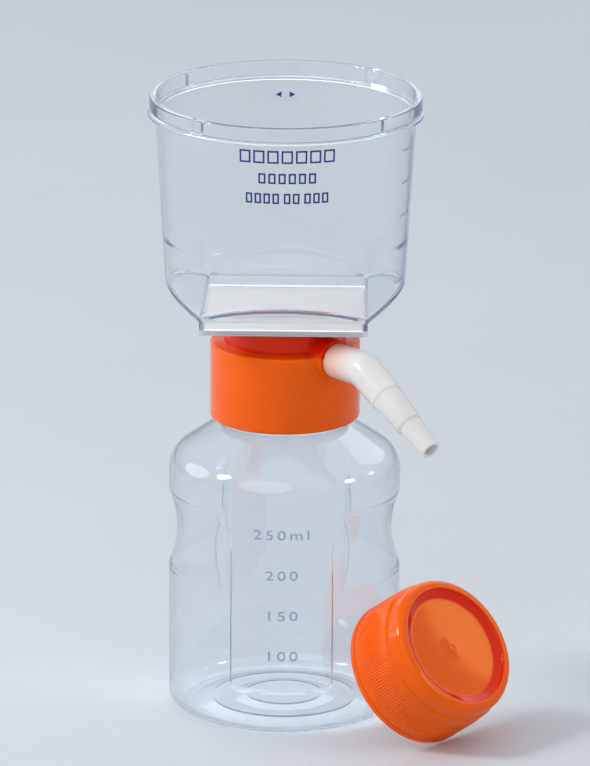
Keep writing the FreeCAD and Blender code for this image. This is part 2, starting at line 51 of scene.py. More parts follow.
MOUTH_TOP = high["storage_bottle"][2]
BOTTLE_RADIUS = high["storage_bottle"][0]
BOTTLE_WALL = 1.3
HEEL_RADIUS = 6.0
FOOT_WIDTH = 2.5
DISH_RADIUS, DISH_RISE = 22.7, 1.3
GATE_RADIUS, GATE_RISE = 14.4, 0.8
SHOULDER_BASE, SHOULDER_RADIUS, SHOULDER_SLOPE = 78.9, 9.5, 34.5
NECK_RADIUS, NECK_BORE = 20.8, 19.2
GRIP_BOTTOM, GRIP_HEIGHT, GRIP_DEPTH, GRIP_HALF_ANGLE = 47.1, 24.9, 2.6, 58.0
GRIP_END = 6.9  # degrees that the grip's end wall takes where the grip is deepest
GRIP_BORDER = 0.11  # depth of the fine line round a grip
PANEL_BOTTOM, PANEL_HEIGHT, PANEL_HALF_ANGLE, PANEL_CORNER = 15.1, 50.6, 26.0, 2.0
FRONT_PANEL, BACK_PANEL = (0.45, 0.2), (0.225, 1.2)  # depth, and how far the edges are softened
PANEL_FADE = 5.0  # height over which a panel's upper end fades out

PORT_ANGLE, PORT_HEIGHT = -48.9, 120.1
HOSE_FACE, HOSE_LEVEL_END, HOSE_SLOPE, HOSE_BEND = 25.5, 39.1, 29.8, 9.0
HOSE_LEVEL_RADIUS, HOSE_BORE, SPOUT_RADIUS, SPOUT_LENGTH = 5.6, 2.3, 3.2, 5.5
# The barb's stages: where each ends past the elbow's corner, and its radii at its start and its end. The
# first starts at the level part's radius.
HOSE_FIRST = (12.9, 5.35)
HOSE_SECOND = (25.8, 5.05, 4.35)
HOSE_TIP = (38.1, 3.85, 3.25)
HOSE_GLOW_LENGTH = 14.0  # length over which an orange glow is painted on the connector, for the collar's orange shining through

COLLAR_ROOF = 6.0
BASE_HALF = high["filter_base"][0]
BASE_TOP = high["filter_base"][2]
CUP_WALL = 1.3
CUP_FOOT_HEIGHT = 2.7
FACET_SLOPE, FACET_REACH = 29.0, 8.5
# How softly the facets meet the foot and the round wall.
OUTER_BLENDS, INNER_BLENDS = (0.6, 0.7), (2.0, 2.2)
CUP_FOOT_RADIUS, CUP_TOP_RADIUS, CUP_HEIGHT = 37.85, 41.5, 61.7
STEP_HEIGHT, STEP_DEPTH, STEP_BLEND = 22.0, 0.12, 1.0
RIM_RADIUS, RIM_WALL = 43.4, 2.2
LIP_REACH, LIP_HEIGHT, RIM_EDGE = 0.6, 1.2, 0.45
LUG_DEPTH, LUG_WIDTH, LUG_ANGLE, LUGS = 0.8, 3.2, 50.0, 4
FACET_BOTTOM = BASE_TOP + CUP_FOOT_HEIGHT
RIM_BOTTOM = FACET_BOTTOM + CUP_HEIGHT
RIM_TOP = high["funnel_cup"][2]
TAPER = (CUP_TOP_RADIUS - CUP_FOOT_RADIUS) / CUP_HEIGHT

CAP_RADIUS, CAP_BEAD, CAP_RIB = 24.1, 1.8, 0.35
CAP_SKIRT, CAP_HEIGHT = 17.4, 24.0
CAP_CROWN, CAP_CROWN_ROUND, CAP_CROWN_EDGE = 22.9, 2.4, 0.8
CAP_BORE, CAP_RECESS, CAP_RECESS_FLOOR, CAP_RECESS_DEPTH, CAP_PANEL = 22.2, 19.5, 17.0, 2.0, 1.5
CAP_LEAN, CAP_PLACE, CAP_DIRECTION, CAP_GAP = 35.3, -37.1, -39.9, 0.1
CAP_RIBS, CAP_RIB_HEIGHT = 160, CAP_RIB * 0.85

FRONT = -90.0
SCALE_ANGLE, SCALE_BOTTOM, SCALE_STEP, SCALE_MARKS = FRONT + 77.5, 144.9, 10.9, 5
SCALE_LINE, SCALE_MARK_LENGTH, SCALE_STAFF_HEIGHT, SCALE_THICK = 0.4, 8.0, 50.0, 0.15
SCALE_MARK_TURN = -5.5  # degrees from the scale's upright line to the middle of its marks
INK_LINE, INK_THICK = 0.55, 0.05
PRINT_ANGLE = 2.0
# Rows of printed blocks: height, blocks' height, how many in each group, blocks' width, gap.
PRINT_ROWS = ((192.7, 4.2, (7,), 3.6, 0.9), (185.6, 3.4, (6,), 2.3, 0.9), (179.0, 3.4, (4, 2, 3), 2.1, 0.75))
ARROW_HEIGHT, ARROW_ANGLE, ARROW_TIP, ARROW_FLAT, ARROW_HALF_WIDTH = 191.3, 91.6, 3.2, 1.3, 1.0
NUMBERS = (("250ml", 67.0), ("200", 53.4), ("150", 40.0), ("100", 26.6))
NUMBER_TALL, NUMBER_THICK, NUMBER_STRETCH, NUMBER_SPACING = 3.2, 0.3, 1.35, 1.3
FONT_SHARE = 1.38  # the font's size over the height of its figures
SURFACE_GAP = 0.02  # by which print and relief stand clear of the wall

POLYSTYRENE_IOR = 1.57

FLOOR_HALF_SIDE, FLOOR_GAP = 12, 0.2  # metres, and millimetres below the unit
CAMERA_DISTANCE = 3500.0
CAMERA_ELEVATION, CAMERA_AZIMUTH, CAMERA_ROLL = 16.45, 1.3, 0.235
CAMERA_TARGET_HEIGHT, CAMERA_TARGET_RIGHT = 106.8, 3.2
IMAGE_LONG_SIDE, PIXELS_PER_MM = 766, 3.13

TAU = 2 * math.pi


# ---------------------------------------------------------------- geometry helpers


def rounded(corners, steps=5):
    """A polyline through (radius, height, rounding) corners, each rounding worked in as an arc."""
    points = []
    last = len(corners) - 1
    for index, corner in enumerate(corners):
        here = Vector(corner[:2])
        fillet = corner[2] if len(corner) > 2 else 0
        if not fillet or index in (0, last):
            points.append(here)
            continue
        before = Vector(corners[index - 1][:2]) - here
        after = Vector(corners[index + 1][:2]) - here
        half = before.angle(after) / 2
        reach = min(fillet / math.tan(half), before.length * 0.49, after.length * 0.49)
        first = here + before.normalized() * reach
        end = here + after.normalized() * reach
        for step in range(steps + 1):
            part = step / steps
            # A quadratic curve is within a hair of the arc at these sizes.
            points.append(first * (1 - part) ** 2 + here * (2 * part * (1 - part)) + end * part**2)
    return points


def divided(points, longest):
    """The polyline with no side longer than longest."""
    made = [points[0]]
    for start, end in zip(points, points[1:]):
        count = max(1, math.ceil((end - start).length / longest))
        made += [start.lerp(end, k / count) for k in range(1, count + 1)]
    return made


def smooth_step(low_edge, high_edge, value):
    """0 up to low_edge, 1 from high_edge on, and a soft rise between."""
    part = min(max((value - low_edge) / (high_edge - low_edge), 0), 1)
    return part * part * (3 - 2 * part)


def smooth_min(a, b, blend):
    """The smaller of the two, with a soft change where they come closer than blend."""
    part = max(blend - abs(a - b), 0) / blend
    return min(a, b) - part * part * blend / 4


def finished_mesh(work, name):
    """The bmesh as a mesh whose faces look outwards."""
    bmesh.ops.recalc_face_normals(work, faces=work.faces)
    mesh = bpy.data.meshes.new(name)
    work.to_mesh(mesh)
    work.free()
    return mesh


def new_piece(name, mesh, body, material, sharp=35.0):
    """The mesh as a piece that rides on a body. Edges that turn by more than sharp degrees stay sharp."""
    piece = bpy.data.objects.new(name, mesh)
    bpy.context.scene.collection.objects.link(piece)
    mesh.materials.append(material)
    mesh.shade_smooth()
    mesh.set_sharp_from_angle(angle=math.radians(sharp))
    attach(piece, body)
    return piece


def skin(name, path, angles, place, closed, poles=False):
    """A mesh round a path. Each point of path is turned through angles, and place(point, angle) gives
    where it goes. With poles, a point on the axis is one vertex. closed joins the path's end to its start."""
    work = bmesh.new()
    rings = []
    for point in path:
        if poles and point[0] < 1e-6:
            rings.append([work.verts.new((0, 0, point[1] * MM))])
            continue
        rings.append([work.verts.new(Vector(place(point, angle)) * MM) for angle in angles])
    pairs = list(zip(rings, rings[1:]))
    if closed:
        pairs.append((rings[-1], rings[0]))
    for lower, upper in pairs:
        count = max(len(lower), len(upper))
        for k in range(count):
            after = (k + 1) % count
            if len(lower) == 1:
                work.faces.new((lower[0], upper[after], upper[k]))
            elif len(upper) == 1:
                work.faces.new((lower[k], lower[after], upper[0]))
            else:
                work.faces.new((lower[k], lower[after], upper[after], upper[k]))
    return finished_mesh(work, name)


def even_angles(count):
    return [TAU * k / count for k in range(count)]


def turned(radius, height, angle):
    """The point so far from the axis, at this height and angle."""
    return (radius * math.cos(angle), radius * math.sin(angle), height)


# ---------------------------------------------------------------- materials


class Nodes:
    """A short way to build the node tree of a material or of the world."""

    def __init__(self, owner, output="ShaderNodeOutputMaterial"):
        owner.use_nodes = True
        self.owner = owner
        self.tree = owner.node_tree
        self.tree.nodes.clear()
        self.output = self.add(output)

    def add(self, kind, inputs=None, **settings):
        """A node with its settings, and with its inputs linked to a socket or set to a value."""
        node = self.tree.nodes.new(kind)
        for name, value in settings.items():
            setattr(node, name, value)
        for name, value in (inputs or {}).items():
            if isinstance(value, bpy.types.NodeSocket):
                self.tree.links.new(value, node.inputs[name])
            else:
                node.inputs[name].default_value = value
        return node

    def place(self):
        """Where on the object, in metres."""
        return self.add("ShaderNodeTexCoord").outputs["Object"]

    def noise(self, scale, detail=3.0, stretch=(1, 1, 1)):
        mapped = self.add("ShaderNodeMapping", {"Vector": self.place(), "Scale": stretch})
        settings = {"Vector": mapped.outputs["Vector"], "Scale": scale, "Detail": detail}
        return self.add("ShaderNodeTexNoise", settings).outputs["Fac"]

    def between(self, value, first, second, start=0.0, end=1.0):
        """Goes from first to second while the value goes from start to end."""
        ends = {"From Min": start, "From Max": end, "To Min": first, "To Max": second}
        return self.add("ShaderNodeMapRange", {"Value": value, **ends}).outputs["Result"]

    def tint(self, fac, first, second):
        ramp = self.add("ShaderNodeValToRGB", {"Fac": fac})
        for element, position, colour in zip(ramp.color_ramp.elements, (0.3, 0.7), (first, second)):
            element.position = position
            element.color = (*colour, 1)
        return ramp.outputs["Color"]

    def blend(self, fac, first, second):
        mixed = self.add("ShaderNodeMixRGB", {"Fac": fac, "Color1": first, "Color2": second})
        return mixed.outputs["Color"]

    def bump(self, height, distance):
        return self.add("ShaderNodeBump", {"Height": height, "Distance": distance}).outputs["Normal"]

    def principled(self, inputs):
        return self.add("ShaderNodeBsdfPrincipled", inputs).outputs["BSDF"]

    def see_through(self, colour):
        return self.add("ShaderNodeBsdfTransparent", {"Color": (*colour, 1)}).outputs["BSDF"]

    def either(self, fac, first, second):
        """The first shader where fac is 0 and the second where it is 1."""
        return self.add("ShaderNodeMixShader", {0: fac, 1: first, 2: second}).outputs["Shader"]

    def finish(self, shader):
        self.tree.links.new(shader, self.output.inputs["Surface"])
        return self.owner


def new_material(name):
    return Nodes(bpy.data.materials.new(name))


def clear_plastic(name, colour, rough):
    """Moulded clear plastic with faint flow lines. Lamps reach through it, so it casts a pale shadow. Light
    caught in a wall leaves it dimmed, so that corners and rims are grey instead of black."""
    nodes = new_material(name)
    flow = nodes.noise(60.0, 2.0, (1, 1, 0.35))
    shader = nodes.principled(
        {
            "Base Color": (*colour, 1),
            "Roughness": nodes.between(nodes.noise(220.0), *rough),
            "IOR": POLYSTYRENE_IOR,
            "Transmission Weight": 1.0,
            "Normal": nodes.bump(flow, 0.00004),
        }
    )
    light = nodes.add("ShaderNodeLightPath").outputs
    caught = nodes.add("ShaderNodeMath", {0: light["Glossy Depth"], 1: 1.5}, operation="GREATER_THAN")
    inner = nodes.either(caught.outputs[0], shader, nodes.see_through((0.55, 0.61, 0.68)))
    return nodes.finish(nodes.either(light["Is Shadow Ray"], inner, nodes.see_through((0.93, 0.94, 0.95))))


def glossy_orange(name, painted_shade_from=None):
    """Glossy injection-moulded orange: a little light runs inside it, and its gloss varies. Shade is painted
    into it: it is deeper red in hollows, where the mesh's attribute marks them, or above a given height."""
    nodes = new_material(name)
    patches = nodes.noise(45.0, 4.0)
    # The mask of the painted shade: from the mesh's attribute, or rising above a height.
    if painted_shade_from is None:
        painted_shade = nodes.add("ShaderNodeAttribute", attribute_name="painted_shade").outputs["Fac"]
    else:
        height = nodes.add("ShaderNodeSeparateXYZ", {"Vector": nodes.place()}).outputs["Z"]
        painted_shade = nodes.between(height, 0.0, 1.0, (painted_shade_from - 0.2) * MM, (painted_shade_from + 0.4) * MM)
    plain = nodes.tint(patches, (0.89, 0.106, 0.0003), (0.95, 0.123, 0.0006))
    # The shaded copy of the orange: painted shade, deeper red, for hollows where little light falls.
    shaded_orange = nodes.tint(patches, (0.76, 0.012, 0.0002), (0.82, 0.018, 0.0003))
    shader = nodes.principled(
        {
            "Base Color": nodes.blend(painted_shade, plain, shaded_orange),
            "Roughness": nodes.between(nodes.noise(160.0), 0.03, 0.05),
            "IOR": 1.5,
            "Specular IOR Level": 0.4,
            "Specular Tint": (1.0, 0.72, 0.38, 1),
            "Subsurface Weight": 0.3,
            "Subsurface Radius": (0.005, 0.0008, 0.0001),
            "Subsurface Scale": 0.3,
            "Normal": nodes.bump(nodes.noise(900.0), 0.000002),
        }
    )
    return nodes.finish(shader)


def natural_white(name, root, glow_length):
    """Unpigmented polypropylene: milky, with light that runs through it. From its root, so far out from the
    unit's axis, an orange glow is painted on, for the orange that it stands in shining through; it fades
    away over the given length."""
    nodes = new_material(name)
    level = nodes.add("ShaderNodeMapping", {"Vector": nodes.place(), "Scale": (1, 1, 0)}).outputs["Vector"]
    distance = nodes.add("ShaderNodeVectorMath", {"Vector": level}, operation="LENGTH").outputs["Value"]
    # The painted orange glow: strongest at the root, gone after the given length.
    painted_glow = nodes.between(distance, 1.0, 0.0, root * MM, (root + glow_length) * MM)
    white = nodes.tint(nodes.noise(90.0), (0.705, 0.687, 0.667), (0.755, 0.737, 0.718))
    shader = nodes.principled(
        {
            "Base Color": nodes.blend(painted_glow, white, (0.82, 0.45, 0.33, 1)),
            "Roughness": nodes.between(nodes.noise(240.0), 0.14, 0.22),
            "IOR": 1.49,
            "Subsurface Weight": 0.85,
            "Subsurface Radius": (0.003, 0.003, 0.0026),
            "Subsurface Scale": 1.0,
            "Normal": nodes.bump(nodes.noise(1100.0), 0.00003),
        }
    )
    return nodes.finish(shader)


def frosted_plastic(name):
    """Clear plastic whose textured faces scatter part of the light."""
    nodes = new_material(name)
    clear = nodes.principled(
        {
            "Base Color": (0.96, 0.97, 0.98, 1),
            "Roughness": nodes.between(nodes.noise(300.0), 0.18, 0.28),
            "IOR": POLYSTYRENE_IOR,
            "Transmission Weight": 1.0,
        }
    )
    milky = nodes.principled(
        {
            "Base Color": nodes.tint(nodes.noise(120.0), (0.78, 0.78, 0.80), (0.84, 0.84, 0.86)),
            "Roughness": 0.3,
            "Subsurface Weight": 1.0,
            "Subsurface Radius": (0.004, 0.004, 0.004),
            "Subsurface Scale": 0.5,
        }
    )
    frosted = nodes.either(0.45, clear, milky)
    shadow = nodes.add("ShaderNodeLightPath").outputs["Is Shadow Ray"]
    return nodes.finish(nodes.either(shadow, frosted, nodes.see_through((0.8, 0.8, 0.82))))


def plain_surface(name, colours, rough, scales, depth, detail=3.0):
    """An opaque material: its colour and its roughness vary between two values, and a grain of this depth
    in metres lies on it. scales are the noise scales of the three."""
    patches, gloss_patches, grain = scales
    nodes = new_material(name)
    shader = nodes.principled(
        {
            "Base Color": nodes.tint(nodes.noise(patches), *colours),
            "Roughness": nodes.between(nodes.noise(gloss_patches, detail), *rough),
            "Normal": nodes.bump(nodes.noise(grain, detail), depth),
        }
    )
    return nodes.finish(shader)


bottle_plastic = clear_plastic("bottle_plastic", (0.94, 0.962, 0.98), rough=(0.01, 0.04))
cup_plastic = clear_plastic("cup_plastic", (0.955, 0.97, 0.985), rough=(0.01, 0.03))
# The relief is the same clear plastic, tinted dark blue-grey: painted shade for the dark look that its edges
# give.
relief_plastic = clear_plastic("relief_plastic", (0.42, 0.52, 0.68), rough=(0.06, 0.12))
cap_orange = glossy_orange("cap_orange")
# The collar is painted deeper red above its roof: painted shade for the shadow under the filter's foot.
collar_orange = glossy_orange("collar_orange", painted_shade_from=high["seal_ring"][2] + COLLAR_ROOF)
white_plastic = natural_white("natural_plastic", HOSE_FACE, HOSE_GLOW_LENGTH)
base_plastic = frosted_plastic("base_plastic")
membrane_white = ((0.51, 0.50, 0.492), (0.55, 0.54, 0.532))
membrane_material = plain_surface(
    "membrane_sheet", membrane_white, (0.7, 0.9), (70.0, 1400.0, 1400.0), 0.00004, detail=6.0
)
seal_pale = ((0.72, 0.72, 0.69), (0.78, 0.78, 0.75))
seal_material = plain_surface("seal_rubber", seal_pale, (0.5, 0.65), (80.0, 400.0, 900.0), 0.00005)
navy = ((0.006, 0.012, 0.16), (0.010, 0.020, 0.22))
ink = plain_surface("navy_ink", navy, (0.35, 0.5), (700.0, 500.0, 1500.0), 0.00002)


# ---------------------------------------------------------------- storage bottle


def wall_heights(inset):
    """Up the round wall, closer beside the edges of the grips and, outside, of the panels."""
    heights = {round(HEEL_RADIUS + 1.3 * k, 2) for k in range(1, 56)}
    for edge in (GRIP_BOTTOM, GRIP_BOTTOM + GRIP_HEIGHT):
        heights |= {round(edge + 0.25 * k, 2) for k in range(-4, 5)}
    if not inset:
        heights |= {round(PANEL_BOTTOM + 0.1 + 0.2 * k, 2) for k in range(-2, 11)}
    return sorted(h for h in heights if h < SHOULDER_BASE - 0.3) + [SHOULDER_BASE]


def bottle_path(inset):
    """The bottle's outline from its centre to its mouth: the outside, or set in by the wall."""
    centre, radius = BOTTLE_RADIUS - SHOULDER_RADIUS, SHOULDER_RADIUS - inset
    lean = math.radians(SHOULDER_SLOPE)
    slope_start = (centre + radius * math.sin(lean), SHOULDER_BASE + radius * math.cos(lean))
    neck = NECK_BORE if inset else NECK_RADIUS
    neck_base = slope_start[1] + (slope_start[0] - neck) * math.tan(lean)
    foot, heel = BOTTLE_RADIUS - HEEL_RADIUS, HEEL_RADIUS - inset
    gate = DISH_RISE + GATE_RISE + inset
    underside = [
        (0, gate),
        (GATE_RADIUS - 2.4, gate, 3.0),
        (GATE_RADIUS + 2.0, DISH_RISE + inset, 3.0),
        (DISH_RADIUS, DISH_RISE + inset, 1.8),
        (foot - FOOT_WIDTH, inset, 1.0),
        (foot, inset),
    ]
    path = rounded(underside)
    path += [
        Vector((foot + heel * math.sin(a), HEEL_RADIUS - heel * math.cos(a)))
        for a in [math.radians(9 * k) for k in range(1, 11)]
    ]
    path += [Vector((BOTTLE_RADIUS - inset, height)) for height in wall_heights(inset)]
    path += [
        Vector((centre + radius * math.cos(a), SHOULDER_BASE + radius * math.sin(a)))
        for a in [math.radians((90 - SHOULDER_SLOPE) * k / 10) for k in range(1, 11)]
    ]
    path += rounded([tuple(path.pop()), (neck, neck_base, 1.6), (neck, MOUTH_TOP)])
    return path


def grip_depth(height, angle):
    """How far the side grips take the wall in: a scoop that meets a slanting end wall."""
    from_side = abs(math.degrees((angle + math.pi / 2) % math.pi - math.pi / 2))
    offset = abs(height - GRIP_BOTTOM - GRIP_HEIGHT / 2)
    if from_side > GRIP_HALF_ANGLE + 1 or offset > GRIP_HEIGHT / 2 + 1:
        return 0
    scoop = (GRIP_HEIGHT**2 / 4 + GRIP_DEPTH**2) / (2 * GRIP_DEPTH)
    round_part = math.sqrt(scoop**2 - offset**2) - (scoop - GRIP_DEPTH)
    end_part = (GRIP_HALF_ANGLE - from_side) / GRIP_END * GRIP_DEPTH
    beside = abs(from_side - GRIP_HALF_ANGLE) * math.radians(BOTTLE_RADIUS)
    border = math.hypot(max(offset - GRIP_HEIGHT / 2, 0), beside if from_side > GRIP_HALF_ANGLE else 0)
    if not border:
        border = min(GRIP_HEIGHT / 2 - offset, beside)
    line = GRIP_BORDER * math.exp(-((border / 0.45) ** 2))
    line *= 0.3 + 0.7 * smooth_step(GRIP_BOTTOM + 2, GRIP_BOTTOM + 14, height)
    return line - smooth_min(-smooth_min(round_part, end_part, 0.3), 0, 0.4)


def panel_depth(height, angle):
    """How far the front and back panels are set in, with rounded corners."""
    from_front = abs(math.degrees(angle % math.pi - math.pi / 2))
    beside = math.radians(from_front - PANEL_HALF_ANGLE) * BOTTLE_RADIUS + PANEL_CORNER
    beyond = abs(height - PANEL_BOTTOM - PANEL_HEIGHT / 2) - PANEL_HEIGHT / 2 + PANEL_CORNER
    outside = math.hypot(max(beside, 0), max(beyond, 0)) + min(max(beside, beyond), 0) - PANEL_CORNER
    depth, edge = FRONT_PANEL if angle > math.pi else BACK_PANEL
    fade = 1 - smooth_step(PANEL_HEIGHT - PANEL_FADE, PANEL_HEIGHT + 0.5, height - PANEL_BOTTOM)
    return depth * (1 - smooth_step(-edge, edge, outside)) * fade


def bottle_angles():
    """Evenly spaced, with more beside the steps of the grips and the panels."""
    degrees = {2.0 * k for k in range(180)}
    panel_edge = 90 - PANEL_HALF_ANGLE
    for middle in (0, 180):
        for side in (-1, 1):
            degrees |= {(middle + side * (GRIP_HALF_ANGLE + 1.4 - 0.45 * k)) % 360 for k in range(24)}
            degrees |= {(middle + side * (panel_edge - 0.25 + 0.25 * k)) % 360 for k in range(3)}
            degrees |= {(middle + side * (panel_edge + 0.5 + 0.5 * k)) % 360 for k in range(6)}
    return [math.radians(a) for a in sorted(degrees)]


def make_bottle():
    outside, inside = bottle_path(0), bottle_path(BOTTLE_WALL)
    below = MOUTH_TOP - 0.4
    mouth = [(NECK_RADIUS, below), (NECK_RADIUS, MOUTH_TOP, 0.3)]
    mouth += [(NECK_BORE, MOUTH_TOP, 0.3), (NECK_BORE, below)]
    path = outside[:-1] + rounded(mouth) + inside[-2::-1]

    def place(point, angle):
        radius, height = point
        if radius > BOTTLE_RADIUS - HEEL_RADIUS and height > HEEL_RADIUS:
            radius -= grip_depth(height, angle)
            # The panel is pressed into the outside only.
            if point[0] > BOTTLE_RADIUS - BOTTLE_WALL / 2:
                radius -= panel_depth(height, angle)
        return turned(radius, height, angle)

    mesh = skin("bottle", path, bottle_angles(), place, closed=False, poles=True)
    piece = new_piece("bottle_shell", mesh, "bottle", bottle_plastic, 30.0)
    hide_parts("storage_bottle")


make_bottle()


# ---------------------------------------------------------------- funnel cup


def square_radius(half, angle):
    """Distance from the axis to a square's side at this angle, with its corners slightly rounded."""
    across, along = abs(math.cos(angle)), abs(math.sin(angle))
    return smooth_min(half / max(across, 1e-6), half / max(along, 1e-6), 0.5)


def make_cup():
    slope = math.radians(FACET_SLOPE)
    well = BASE_HALF - CUP_WALL
    inner_bottom = FACET_BOTTOM + CUP_WALL / math.cos(slope) - CUP_WALL * math.tan(slope)
    step = FACET_BOTTOM + STEP_HEIGHT
    ledge = RIM_BOTTOM + CUP_WALL
    band = RIM_RADIUS - RIM_WALL
    facets_top = FACET_BOTTOM + FACET_REACH

    def round_wall(height, inset):
        return CUP_FOOT_RADIUS + TAPER * (height - FACET_BOTTOM) - inset

    def faceted(height, angle, wall, half, bottom, blends):
        """The round wall, cut off by the facets that rise from a square foot."""
        to_foot, to_wall = blends
        rise = -smooth_min(0, -(height - bottom) / math.tan(slope), to_foot)
        return smooth_min(wall, square_radius(half + rise, angle), to_wall)

    def place(point, angle):
        kind, height, radius = stations[int(point[1])]
        if kind == "outside":
            radius = faceted(height, angle, round_wall(height, 0), BASE_HALF, FACET_BOTTOM, OUTER_BLENDS)
        elif kind == "inside":
            thick = CUP_WALL + STEP_DEPTH * (1 - smooth_step(step - STEP_BLEND, step + STEP_BLEND, height))
            radius = faceted(height, angle, round_wall(height, thick), well, inner_bottom, INNER_BLENDS)
        elif kind == "foot":
            radius = square_radius(radius, angle)
        elif kind == "band":
            radius -= LUG_DEPTH * lug_cover(angle)
        return turned(radius, height, angle)

    def lug_cover(angle):
        """1 where a lug stands on the band's inside, 0 beside it."""
        spacing = TAU / LUGS
        away = (angle - math.radians(LUG_ANGLE) + spacing / 2) % spacing - spacing / 2
        half = LUG_WIDTH / 2 / band
        return 1 - smooth_step(half - 0.012, half + 0.02, abs(away))

    def heights(kind, start, end, count):
        """Stations of one kind, evenly spaced from start to end."""
        return [(kind, start + (end - start) * k / count, 0) for k in range(count + 1)]

    rim = rounded(
        [
            (CUP_TOP_RADIUS - 0.02, RIM_BOTTOM - 0.6),
            (CUP_TOP_RADIUS, RIM_BOTTOM, 0.3),
            (RIM_RADIUS + LIP_REACH, RIM_BOTTOM, RIM_EDGE),
            (RIM_RADIUS + LIP_REACH, RIM_BOTTOM + LIP_HEIGHT, RIM_EDGE),
            (RIM_RADIUS, RIM_BOTTOM + LIP_HEIGHT, 0.25),
            (RIM_RADIUS, RIM_TOP, RIM_EDGE),
            (band, RIM_TOP, 0.3),
            (band, RIM_TOP - 0.8),
        ],
        4,
    )
    inner = round_wall(ledge, CUP_WALL)
    inner_rim = [(band, ledge + 0.6), (band, ledge, 0.4), (inner, ledge, 0.4), (inner, ledge - 0.6)]
    # Up the outside, over the rim and down the inside: each station's kind, height and radius. "outside" and
    # "inside" work their radius out for themselves.
    stations = [("foot", BASE_TOP + 0.25, BASE_HALF), ("foot", FACET_BOTTOM - 0.6, BASE_HALF)]
    stations += heights("outside", FACET_BOTTOM - 0.25, FACET_BOTTOM + 0.25, 4)
    stations += heights("outside", FACET_BOTTOM + 0.6, facets_top, 20)
    stations += heights("outside", facets_top + 3, RIM_BOTTOM - 1, 8)
    stations += [("ring", p.y, p.x) for p in rim[1:-1]]
    stations += [("band", RIM_TOP - 0.4, band), ("band", RIM_TOP - 0.9, band), ("band", ledge + 0.6, band)]
    stations += [("ring", p.y, p.x) for p in rounded(inner_rim, 4)[1:]]
    for start, end, count in (
        (step + 2.5, ledge - 3, 6),
        (step - STEP_BLEND, step + STEP_BLEND, 8),
        (facets_top + 4, step - 2, 3),
        (inner_bottom + 0.6, facets_top + 1, 20),
        (inner_bottom - 0.7, inner_bottom + 0.4, 6),
    ):
        stations += reversed(heights("inside", start, end, count))
    stations += [("foot", inner_bottom - 0.9, well), ("foot", BASE_TOP + 0.2, well)]
    stations += [("foot", BASE_TOP, well + 0.2), ("foot", BASE_TOP, BASE_HALF - 0.25)]
    path = [(1, index) for index in range(len(stations))]
    mesh = skin("cup", path, even_angles(720), place, closed=True)
    piece = new_piece("cup_shell", mesh, "filter_head", cup_plastic, 40.0)
    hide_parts("funnel_cup")


make_cup()


# ---------------------------------------------------------------- cap


def cap_matrix():
    """Where the solid's cap leans: its open edge on the floor and against the bottle."""
    lean, place, towards = (math.radians(a) for a in (CAP_LEAN, CAP_PLACE, CAP_DIRECTION))
    half_wide = CAP_RADIUS * math.sin(towards - place)
    half_deep = CAP_RADIUS * math.sin(lean) * math.cos(towards - place)
    across = BOTTLE_RADIUS + CAP_GAP + math.hypot(half_wide, half_deep)
    centre = Vector((across * math.cos(place), across * math.sin(place), CAP_RADIUS * math.cos(lean)))
    upright = Matrix.Rotation(math.pi / 2 - lean, 4, "Y")
    return Matrix.Translation(centre * MM) @ Matrix.Rotation(towards, 4, "Z") @ upright


